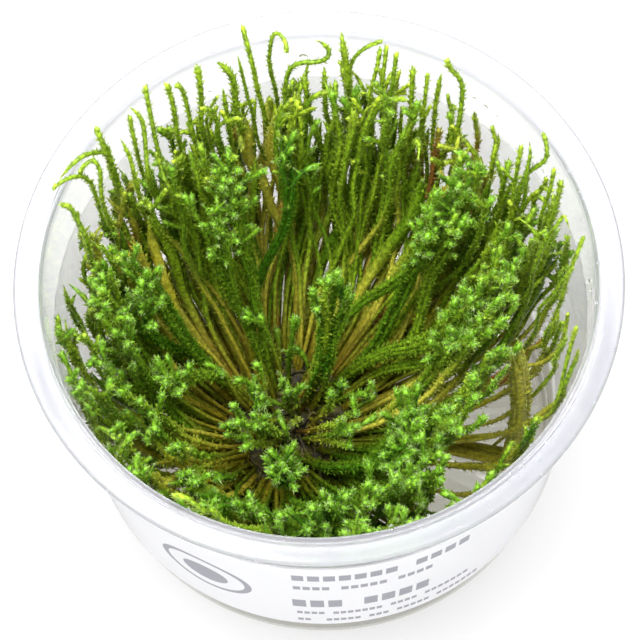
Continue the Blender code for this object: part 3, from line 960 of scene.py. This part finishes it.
def guided_path(chance, guides):
    """A shoot's path from the mat by the wall that ends in a stretch through the given places."""
    guides = [Vector(guide) for guide in guides]
    first = guides[0]
    angle = math.degrees(math.atan2(first.y - CLUMP_CENTRE[1], first.x - CLUMP_CENTRE[0]))
    offset = first - place(GUIDE_SHARE, angle, first.z)
    phase = [chance.uniform(0.0, FULL_TURN) for count in range(2)]
    count = max(5, int((first.z - ROOT_HEIGHT) / PATH_STEP))
    path = []
    for step in range(count):
        height = ROOT_HEIGHT + (first.z - ROOT_HEIGHT) * step / count
        here = place(GUIDE_SHARE, angle, height) + offset * smooth_step(height, GUIDED_HEIGHT, first.z)
        sway = GUIDED_SWAY * math.sin(math.pi * step / count)
        for axis, wave in enumerate(GUIDED_WAVES):
            here[axis] += sway * math.sin(height * wave + phase[axis])
        path.append(here)
    return [kept_inside(point) for point in path[:-1] + smooth_line(guides, GUIDE_STEP)]


class Shoots:
    """Lines of shoots with the attributes that their leaves take, gathered into one mesh."""

    NAMES = ("size", "old", "fresh", "bud", "cover", "tint", "feather")

    def __init__(self):
        self.points = []
        self.edges = []
        self.rows = []

    def add(self, path, rows):
        """One shoot: a path, and a row of the attributes for every point of it."""
        first = len(self.points)
        self.points += [tuple(point * MM) for point in path]
        self.edges += [(first + step, first + step + 1) for step in range(len(path) - 1)]
        self.rows += rows

    def mesh(self, name):
        """The lines as a mesh that holds the attributes."""
        made = bpy.data.meshes.new(name)
        made.from_pydata(self.points, self.edges, [])
        store_values(made, zip(self.NAMES, zip(*self.rows)))
        return made


def store_values(mesh, values):
    """Stores lists of numbers on a mesh's points, each by its name."""
    for name, numbers in values:
        mesh.attributes.new(name, "FLOAT", "POINT").data.foreach_set("value", numbers)


def end_size(left, pointed, feather):
    """Share of the full thickness at a distance from the tip: a drawn-out point or a round bud, which
    is fatter on a feathery shoot."""
    if pointed:
        return min(1.0, 0.12 + (left / 3.5) ** 0.75)
    short = 1.0 - min(1.0, left / (0.5 + 0.3 * feather))
    fat = 0.08 + 1.15 * max(0.0, feather - 0.25)
    return max(0.12, math.sqrt(1.0 - short * short)) * (1.0 + fat * (1.0 - smooth_step(left, 1.1, 3.0)))


def add_leafy_line(shoots, chance, path, looks, thickness=1.0, hidden=HIDDEN_HEIGHT, broad=False):
    """Adds a path with its leaves' size, age and freshness along it. Its leaves are sparse under the
    height at which other shoots hide it. A broad stem is an old one that widens upwards to a long
    point, with few leaves and no fresh tip."""
    tint, feather, gold = looks
    heading = (path[-1] - path[-2]).normalized()
    path = path[:-1] + [path[-1] - heading * back for back in BUD_POINTS] + [path[-1]]
    fresh_length = chance.uniform(*FRESH_LENGTH) * (0.35 + 0.65 * tint)
    thickness *= chance.uniform(*THICKNESS)
    pointed = chance.random() < 0.55 - 0.5 * feather
    total = sum((b - a).length for a, b in zip(path, path[1:]))
    run = 0.0
    rows = []
    for before, point in zip([path[0], *path], path):
        run += (point - before).length
        left = total - run
        old = 1.0 - smooth_step(point.z, gold - GOLD_FADE, gold + GOLD_FADE)
        cover = SPARSE + (1.0 - SPARSE) * smooth_step(point.z, hidden - 6.0, hidden + 10.0)
        if broad:
            flare = 1.0 + BROAD_FLARE * smooth_step(point.z, 5.0, 28.0)
            size = thickness * flare * min(1.0, 0.1 + left / BROAD_POINT)
            rows.append((size, old, 0.0, 0.0, BROAD_COVER * cover, tint, feather))
        else:
            size = thickness * end_size(left, pointed, feather) * (1.0 + 0.1 * old)
            fresh = 1.0 - smooth_step(left, 0.3, fresh_length)
            bud = 1.0 - smooth_step(left, 0.3, 1.6)
            rows.append((size, old, fresh, bud, cover, tint, feather))
    shoots.add(path, rows)


def grow_shoot(shoots, chance, path, looks, branches, hidden=HIDDEN_HEIGHT):
    """A shoot on its path, with short side branches near its tip that turn up towards the light."""
    add_leafy_line(shoots, chance, path, looks, 1.0, hidden)
    for branch in range(branches):
        line = [path[int(len(path) * chance.uniform(*BRANCH_PLACES))].copy()]
        out = level(chance.uniform(0.0, FULL_TURN))
        length = chance.uniform(*BRANCH_LENGTHS)
        steps = max(3, int(length / BRANCH_STEP))
        heading = (UP + out * chance.uniform(*BRANCH_SPREADS)).normalized()
        for step in range(steps):
            heading = (heading + UP * BRANCH_RISE).normalized()
            line.append(line[-1] + heading * (length / steps))
        add_leafy_line(shoots, chance, [kept_inside(point) for point in line], looks, BRANCH_SIZE)


def gold_height(chance, angle, ring):
    """Height up to which a stem is golden: high in the golden patches, low between them."""
    near = max(
        1.0 - smooth_step(abs(turn_gap(angle, middle)), half * 0.5, half * 1.3)
        for middle, half in GOLD_PATCHES
    )
    golden = GOLD_LOW[ring] + (GOLD_HIGH[ring] - GOLD_LOW[ring]) * near + chance.uniform(-5.0, 5.0)
    golden *= 1.0 - 0.6 * smooth_step(front_share(angle), *FRONT)
    return golden * chance.choice((0.4, 1.0, 1.0))


def feather_of(chance, angle, ring):
    """How feathery a shoot is: smooth at the back rim, with hairy buds at the front and inside."""
    return within(0.18 + 0.6 * front_share(angle) + 0.15 * ring + chance.uniform(-0.2, 0.25))


def tint_of(chance, angle, ring):
    """How yellow a shoot's green is: yellow-green at the back rim and deep green inside. It is painted
    deeper green towards the front as painted shade, and yellower at the right and left as painted light.
    """
    # Painted light at the right and left, and painted shade towards the front, by the angle round the clump
    side = math.cos(math.radians(angle))
    painted_side_light = (RIGHT_PAINTED_LIGHT if side > 0.0 else LEFT_PAINTED_LIGHT) * abs(side)
    return within(RING_TINTS[ring] - 0.5 * front_share(angle) + painted_side_light + chance.uniform(-0.25, 0.25))


def grow_lock(shoots, chance, lock, tip):
    """The shoots of one lock, each at its own depth in the clump."""
    facing = turn_gap(lock.angle, 0.0)
    start, end, more = MORE_SHOOTS
    if in_patch(lock.angle) or not start < facing < end:
        more = 0
    if lock.ring and THIN_FRONT[0] < facing < THIN_FRONT[1]:
        more = THIN_FRONT[2]
        tip *= chance.uniform(*LOW_FRONT)
    if lock.ring == 2:
        for count in range(STRANDS_PER_LOCK + more // 3):
            grow_strand(shoots, chance, lock, tip)
        return
    many, gathered, lean, hook, hidden = RING_GROWTH[lock.ring]
    drop = 0.0 if lock.ring else BACK_DROP * smooth_step(front_share(lock.angle), *BACK)
    for count in range(many + more):
        turn = lock.angle + lock.width * chance.uniform(-0.55, 0.55)
        if lock.ring:
            turn = pushed_out(WINDOWS, turn, 0.8)
        top = tip - abs(chance.gauss(0.0, 4.0)) - 1.0 - drop * chance.uniform(0.5, 1.0)
        depth = lock.inner + (lock.outer - lock.inner) * chance.random() ** gathered
        if lock.ring and in_patch(turn):
            depth -= 0.2
        share_at = depth_line(depth, chance.uniform(-0.12, 0.12), top)
        line = middle_line(chance, share_at, turn, chance.uniform(-lean, lean), top)
        path = grown_path(chance, line, top, hook)
        looks = [look(chance, turn, lock.ring) for look in (tint_of, feather_of, gold_height)]
        branches = FRONT_BRANCHES if front_share(turn) > BARE_FRONT else BRANCHES
        grow_shoot(shoots, chance, path, looks, chance.choice(branches), hidden)


def grow_curtain(shoots, chance, lock):
    """Short broad stems low down in an outer lock, which close the view of the wall: golden at the
    back and sides, green in front."""
    for count in range(CURTAIN_STEMS):
        turn = lock.angle + lock.width * ((count + chance.uniform(0.2, 0.8)) / CURTAIN_STEMS - 0.5)
        top = chance.uniform(*CURTAIN_TOPS) + CURTAIN_RISE * smooth_step(front_share(turn), *BACK)
        depth = chance.uniform(*CURTAIN_DEPTHS[count % 2])
        share_at = depth_line(depth, chance.uniform(-0.1, 0.1), top)
        line = middle_line(chance, share_at, turn, chance.uniform(-CURTAIN_LEAN, CURTAIN_LEAN), top)
        path = grown_path(chance, line, top, 0.0)
        golden = gold_height(chance, turn, lock.ring)
        # Painted shade: the stems' green is made deeper towards the front
        tint = chance.uniform(0.2, 1.0) * (1.0 - 0.5 * front_share(lock.angle))
        looks = (tint, CURTAIN_FEATHER, golden)
        thickness = chance.uniform(*CURTAIN_THICKNESS)
        add_leafy_line(shoots, chance, path, looks, thickness, CURTAIN_HIDDEN, broad=True)


def grow_strand(shoots, chance, lock, tip):
    """A strand of a few shoots side by side, that opens into a tuft towards its top."""
    turn = pushed_out(WINDOWS, lock.angle + lock.width * chance.uniform(-0.5, 0.5), 1.0)
    share_at = depth_line(chance.uniform(lock.inner, lock.outer), chance.uniform(-0.2, 0.2), tip)
    line = middle_line(chance, share_at, turn, chance.uniform(-STRAND_LEAN, STRAND_LEAN), tip)
    tint = tint_of(chance, turn, lock.ring)
    gold = gold_height(chance, turn, lock.ring)
    for count in range(chance.randint(*SHOOTS_PER_STRAND)):
        top = tip - chance.uniform(0.5, 11.0)
        start = chance.uniform(0.0, FULL_TURN)
        reach = STRAND_RADIUS * math.sqrt(chance.random())

        def offset(height):
            opened = 0.35 + 0.65 * smooth_step(height, 14.0, tip)
            return level(start + height * STRAND_TURN) * reach * opened

        path = grown_path(chance, line, top, 0.15, offset)
        looks = (within(tint + chance.uniform(-0.12, 0.12)), feather_of(chance, turn, lock.ring), gold)
        grow_shoot(shoots, chance, path, looks, chance.choice(STRAND_BRANCHES))


def grow_guided(shoots, chance, rows, feather, gold):
    """Shoots whose last stretch is given."""
    for thickness, *guides in rows:
        path = guided_path(chance, guides)
        looks = (chance.uniform(0.6, 1.0), feather, chance.uniform(*gold))
        add_leafy_line(shoots, chance, path, looks, thickness)


def grow_bundle(shoots, chance):
    """The golden stems that stand together before the wall in the thin patch."""
    for count in range(BUNDLE_STEMS):
        shift = beside(chance, BUNDLE_RADIUS)
        guides = [Vector(guide) + shift for guide in BUNDLE_LINE]
        guides[-1] += UP * chance.uniform(*BUNDLE_TOPS)
        path = guided_path(chance, guides)
        looks = (chance.uniform(0.6, 0.88), 0.4, BUNDLE_GOLD)
        add_leafy_line(shoots, chance, path, looks, chance.uniform(0.7, 1.2), broad=True)


def grow_stalk(shoots, chance, stalk, gold, spread, feather, branches):
    """The shoots of a stalk that stands alone, side by side in it."""
    angle, foot_share, tip_share, tip, radius, count = stalk
    for number in range(count):
        top = tip - (chance.uniform(0.0, 7.0) if number else 0.0)
        offset = beside(chance, radius)
        line = middle_line(
            chance, lambda height: foot_share + (tip_share - foot_share) * height / tip, angle,
            chance.uniform(-7.0, 7.0), top,
        )
        path = grown_path(chance, line, top, 0.15)
        if count > 1:
            path = [point + offset * (0.5 + spread * point.z / tip) for point in path]
        path = [kept_inside(point) for point in path]
        looks = (chance.random(), feather, gold + chance.uniform(-6.0, 6.0))
        grow_shoot(shoots, chance, path, looks, chance.choice(branches))


def grow_sprigs(shoots, chance):
    """Short green shoots that grow up from the mat inside the hollow."""
    for count in range(HOLLOW_SPRIGS):
        tip = chance.uniform(8.0, 22.0)
        foot = chance.uniform(0.05, 0.5)
        drift = chance.uniform(-0.2, 0.12)
        line = middle_line(
            chance, lambda height: foot + drift * height / tip, chance.uniform(-180.0, 180.0),
            chance.uniform(-40.0, 40.0), tip,
        )
        path = grown_path(chance, line, tip, 0.4)
        looks = (chance.uniform(0.0, 0.5), 0.8, chance.uniform(2.0, 10.0))
        grow_shoot(shoots, chance, path, looks, chance.choice(SPRIG_BRANCHES))


def grow_litter(shoots, chance):
    """Old stems that lie over the mat, bent this way and that."""
    for count in range(LITTER_STEMS):
        angle = chance.uniform(0.0, 360.0)
        heading = level(math.radians(chance.uniform(0.0, 360.0)))
        line = [place(chance.uniform(0.0, 0.8), angle, MAT_TOP + 0.3)]
        bend = chance.uniform(-14.0, 14.0)
        for step in range(chance.randint(7, 14)):
            heading.rotate(Quaternion(UP, math.radians(bend + chance.uniform(-8.0, 8.0))))
            line.append(line[-1] + heading + UP * LITTER_LIFT * math.sin(step * 0.7 + angle))
        line = [Vector((point.x, point.y, max(point.z, MAT_TOP - 0.4))) for point in line]
        looks = (chance.random(), 0.3, chance.choice((4.0, 30.0, 30.0)))
        add_leafy_line(shoots, chance, [kept_inside(point) for point in line], looks, 0.8, -20.0)


def small_mesh(name, points, faces, hair):
    """A small mesh, 1 long along +Z, with the place along it and whether it is a hair."""
    made = bpy.data.meshes.new(name)
    made.from_pydata(points, [], faces)
    store_values(made, (("along", [point[2] for point in points]), ("hair", [hair] * len(points))))
    return made


def leaf_mesh():
    """One pressed leaf: a keeled scale whose fine point bends outwards."""
    half = LEAF_WIDTH / LEAF_LENGTH / 2.0
    points = [(-half, 0.0, 0.08), (half, 0.0, 0.08), (0.0, 0.16, 0.34), (0.0, 0.2, 1.0)]
    return small_mesh("leaf", points, [(0, 1, 2), (1, 3, 2), (3, 0, 2), (0, 3, 1)], 0.0)


def hair_mesh():
    """One fine leaf point that stands free, like a hair."""
    half = HAIR_WIDTH / HAIR_LENGTH / 2.0
    points = [(-half, 0.0, 0.0), (half, 0.0, 0.0), (0.0, half, 0.0), (0.0, 0.1, 1.0)]
    return small_mesh("hair", points, [(0, 1, 3), (1, 2, 3), (2, 0, 3), (0, 2, 1)], 1.0)


def leaves_on(add, points, rotation, leaf, lean, scale, stand_off, seed):
    """Instances of the leaf on points, spread round the stem and leaning out from it."""
    scatter = add("random", -LEAF_SCATTER, LEAF_SCATTER, seed)
    spin = add("multiply_add", add("index"), LEAF_TURN, scatter)
    round_stem = add("turned", rotation, add("turn about", (0.0, 0.0, 1.0), spin))
    outwards = add("turned arrow", (0.0, 1.0, 0.0), round_stem)
    moved = add("moved", points, add("scaled arrow", outwards, stand_off))
    shaded = add("stored", moved, "shade", add("random", 0.0, 1.0, seed + 1))
    leaning = add("turned", round_stem, add("turn about", (-1.0, 0.0, 0.0), lean))
    return add("instances", shaded, leaf, leaning, scale)


def kept_points(add, points, spare):
    """Points on a line with the line's direction stored in them, without the spare ones."""
    stored = add("stored", points, "way", points.node.outputs["Rotation"], data_type="QUATERNION")
    return add("thinned", stored, spare)


def last_stretch(add, curve, length):
    """The last stretch of each line, up to its tip."""
    whole = add("curve length")
    return add("stretch", curve, add("subtract", whole, length), whole)


def shoot_tree(sizes):
    """Geometry nodes that dress lines with a stem, close leaves and a tuft at each tip, and what the
    tree takes: each input's identifier and its value, by name."""
    tree = bpy.data.node_groups.new("leafy shoots", "GeometryNodeTree")
    add = partial(add_node, tree)
    tree.interface.new_socket("Geometry", in_out="INPUT", socket_type="NodeSocketGeometry")
    tree.interface.new_socket("Geometry", in_out="OUTPUT", socket_type="NodeSocketGeometry")
    settings = {}
    for name, kind, value in sizes:
        socket = tree.interface.new_socket(name, in_out="INPUT", socket_type="NodeSocket" + kind)
        settings[name] = (socket.identifier, value)
    given = tree.nodes.new("NodeGroupInput").outputs
    size, feather, bud, cover = [add("named", name) for name in ("size", "feather", "bud", "cover")]
    leaf, hair = [add("object", given[name]) for name in ("Leaf", "Hair")]
    curve = add("curves", given["Geometry"])
    rope = add("tube", curve, add("circle", ROPE_SIDES, given["Rope radius"]), size, True)
    stand = add("multiply", add("multiply", given["Rope radius"], size), STAND_OFF)
    way = add("named", "way", data_type="QUATERNION")

    # Close leaves: longer and more open on a feathery shoot, and closed over a bud
    dense = add("spaced points", curve, given["Leaf spacing"])
    leafy = kept_points(add, dense, add("greater_than", add("random", 0.0, 1.0, 2), cover))
    opening = add("multiply", add("multiply_add", feather, 0.4, 0.42), add("random", 0.0, 1.0, 3))
    lean = add("add", opening, add("multiply_add", feather, 0.16, 0.2))
    lean = add("multiply", lean, add("multiply_add", bud, -1.15, 1.0))
    scale = add("multiply", given["Leaf length"], add("minimum", size, LEAF_MOST))
    scale = add("multiply", scale, add("random", 0.7, 1.15, 4))
    scale = add("multiply", scale, add("multiply_add", feather, 0.3, 0.8))
    leaves = leaves_on(add, leafy, way, leaf, lean, scale, stand, 10)

    # Free leaf points, fine as hairs, over the last stretch of a feathery shoot
    many = add("spaced points", last_stretch(add, curve, given["Hairy length"]), given["Hair spacing"])
    hairy = kept_points(add, many, add("greater_than", add("random", 0.1, 1.1, 30), feather))
    scale = add("multiply", given["Hair length"], add("random", 0.7, 1.2, 31))
    fringe = leaves_on(add, hairy, way, hair, add("random", 0.35, 1.0, 32), scale, stand, 33)

    # A crown of them round the tip, which closes towards its end
    end = last_stretch(add, curve, add("multiply", given["Hair length"], 0.6))
    few = add("counted points", end, given["Crown hairs"])
    order = add("fract", add("divide", add("index"), given["Crown hairs"]))
    lean = add("add", add("multiply_add", order, -0.7, 1.2), add("random", -0.2, 0.2, 5))
    scale = add("multiply", given["Hair length"], add("random", 0.8, 1.3, 6))
    scale = add("multiply", scale, add("multiply_add", feather, 0.85, 0.15))
    crown = leaves_on(add, few, few.node.outputs["Rotation"], hair, lean, scale, stand, 20)

    joined = add("joined", add("smooth", rope), leaves, fringe, crown)
    add("result", add("finished", add("real", joined), given["Material"]))
    return tree, settings


def press_inside(mesh):
    """Presses leaf points that would stand in the cup's plastic back on to its inside."""
    spots = np.empty(3 * len(mesh.vertices), dtype=np.float32)
    mesh.vertices.foreach_get("co", spots)
    spots = spots.reshape(-1, 3)
    levels = (0.0, LEDGE_HEIGHT, LEDGE_HEIGHT + TINY, COLLAR_TOP)
    walls = [(height, inner_wall(height)) for height in levels]
    walls += [(CREST - below, MOUTH_RADIUS + out) for out, below in reversed(CREST_POINTS)]
    walls += [(CREST + TINY, FLANGE_RADIUS)]
    heights, radii = np.array(walls).T * MM
    limit = np.interp(spots[:, 2], heights, radii - LEAF_GAP * MM)
    reach = np.maximum(np.hypot(spots[:, 0], spots[:, 1]), LEAF_GAP * MM)
    spots[:, :2] *= np.minimum(1.0, limit / reach)[:, None]
    mesh.vertices.foreach_set("co", spots.ravel())
    mesh.update()


def dressed_piece(name, shoots, nodes, tree, settings):
    """One piece of leafy moss, which the geometry nodes make from its lines, in place of the solids
    that it dresses."""
    holder = new_object(name, shoots.mesh(name))
    modifier = holder.modifiers.new("leaves", "NODES")
    modifier.node_group = tree
    for identifier, value in settings.values():
        modifier[identifier] = value
    graph = bpy.context.evaluated_depsgraph_get()
    mesh = bpy.data.meshes.new_from_object(holder.evaluated_get(graph))
    mesh.name = name
    bpy.data.objects.remove(holder)
    press_inside(mesh)
    mesh.calc_loop_triangles()
    print(name, len(mesh.loop_triangles), "triangles")
    add_piece(name, mesh, settings["Material"][1], nodes)


def lock_list():
    """Every lock of the solids, by ring and round it."""
    made = []
    for ring, (inner, outer, count, first) in enumerate(LOCK_RINGS):
        for step in range(count):
            angle = first + 360.0 / count * step
            if ring or not in_patch(angle):
                name = f"moss_lock_{len(made) + 1:02d}"
                made.append(Lock(name, ring, inner, outer, angle, 360.0 / count))
    return made


def nearest_lock(locks, row):
    """The number of the outer lock whose angle is nearest to a rim shoot's."""
    x, y = row[1][0] - CLUMP_CENTRE[0], row[1][1] - CLUMP_CENTRE[1]
    angle = math.degrees(math.atan2(y, x))
    gaps = [abs(turn_gap(lock.angle, angle)) for lock in locks if lock.ring == 0]
    return gaps.index(min(gaps))


def build_moss(leaf_material, stem_material):
    """The clump, as one piece for each group of neighbouring locks, then the shoots that stand alone
    and the loose stems on the mat."""
    leaf, hair = new_object("leaf", leaf_mesh()), new_object("hair", hair_mesh())
    tree, settings = shoot_tree((
        ("Leaf", "Object", leaf), ("Hair", "Object", hair), ("Material", "Material", leaf_material),
        *SHOOT_SIZES,
    ))
    locks = lock_list()
    rim_locks = [nearest_lock(locks, row) for row in RIM_SHOOTS]
    chance = random.Random(SHOOT_SEED)
    for number, start in enumerate(range(0, len(locks), LOCKS_PER_PIECE), 1):
        end = start + LOCKS_PER_PIECE
        shoots = Shoots()
        for lock in locks[start:end]:
            grow_lock(shoots, chance, lock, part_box(lock.name)[1].z / MM)
            if lock.ring == 0:
                grow_curtain(shoots, chance, lock)
        rows = [row for row, near in zip(RIM_SHOOTS, rim_locks) if start <= near < end]
        grow_guided(shoots, chance, rows, 0.3, (5.0, 36.0))
        nodes = [lock.name for lock in locks[start:end]]
        dressed_piece(f"leafy_moss_{number}", shoots, nodes, tree, settings)
    for name, node, stalks, rows, gold, spread, feather, branches, grow_more in (
        ("wall_moss", "moss_shoot", LONE_SHOOTS, WALL_SHOOTS, 30.0, 0.5, 0.35, (0, 0, 1), grow_bundle),
        ("hollow_moss", "moss_tuft", HOLLOW_TUFTS, (), 6.0, 1.0, 0.85, SPRIG_BRANCHES, grow_sprigs),
    ):
        shoots = Shoots()
        for stalk in stalks:
            grow_stalk(shoots, chance, stalk, gold, spread, feather, branches)
        grow_guided(shoots, chance, rows, 0.1, (30.0, 42.0))
        grow_more(shoots, chance)
        nodes = [f"{node}_{number}" for number in range(1, len(stalks) + 1)]
        dressed_piece(name, shoots, nodes, tree, settings)
    shoots = Shoots()
    grow_litter(shoots, chance)
    settings["Material"] = (settings["Material"][0], stem_material)
    dressed_piece("stem_litter", shoots, [], tree, settings)
    for small in (leaf, hair):
        bpy.data.objects.remove(small)


def aimed(name, data, spot, aim, roll=0.0):
    """A lamp or the camera at a spot, turned towards another and rolled about its line of sight."""
    made = new_object(name, data)
    made.location = Vector(spot) * MM
    turn = (Vector(aim) * MM - made.location).to_track_quat("-Z", "Y")
    made.rotation_euler = (turn @ Quaternion(UP, math.radians(roll))).to_euler()
    return made


def build_studio():
    """The camera, the white surroundings, the softboxes and the floor."""
    scene = bpy.context.scene
    data = bpy.data.cameras.new("camera")
    data.lens = CAMERA_LENS
    data.clip_start = CAMERA_NEAR * MM
    scene.camera = aimed("camera", data, CAMERA_PLACE, CAMERA_AIM, CAMERA_ROLL)
    scene.world = bpy.data.worlds.new("studio")
    scene.world.use_nodes = True
    sky = scene.world.node_tree.nodes["Background"].inputs
    feed(sky["Color"], "#FFFFFF")
    feed(sky["Strength"], STUDIO_GLOW)
    for name, spot, size, watts in SOFTBOXES:
        data = bpy.data.lights.new(name, "AREA")
        data.shape = "DISK"
        data.size = size * MM
        data.energy = watts
        aimed(name, data, spot, SOFTBOX_AIM)
    scene.view_settings.view_transform = "Standard"
    scene.view_settings.look = "None"
    mesh = bpy.data.meshes.new("floor")
    reach = FLOOR_REACH * MM
    corners = [(-reach, -reach, 0.0), (reach, -reach, 0.0), (reach, reach, 0.0), (-reach, reach, 0.0)]
    mesh.from_pydata(corners, [], [(0, 1, 2, 3)])
    mesh.materials.append(studio_floor())
    new_object("floor", mesh)


def main():
    """Builds the studio and every piece."""
    build_studio()
    build_cup(clear_polypropylene())
    build_band(printed_film())
    build_beads(clear_water())
    stem_material = old_stem()
    build_mat(stem_material)
    build_moss(moss_leaf(), stem_material)


main()
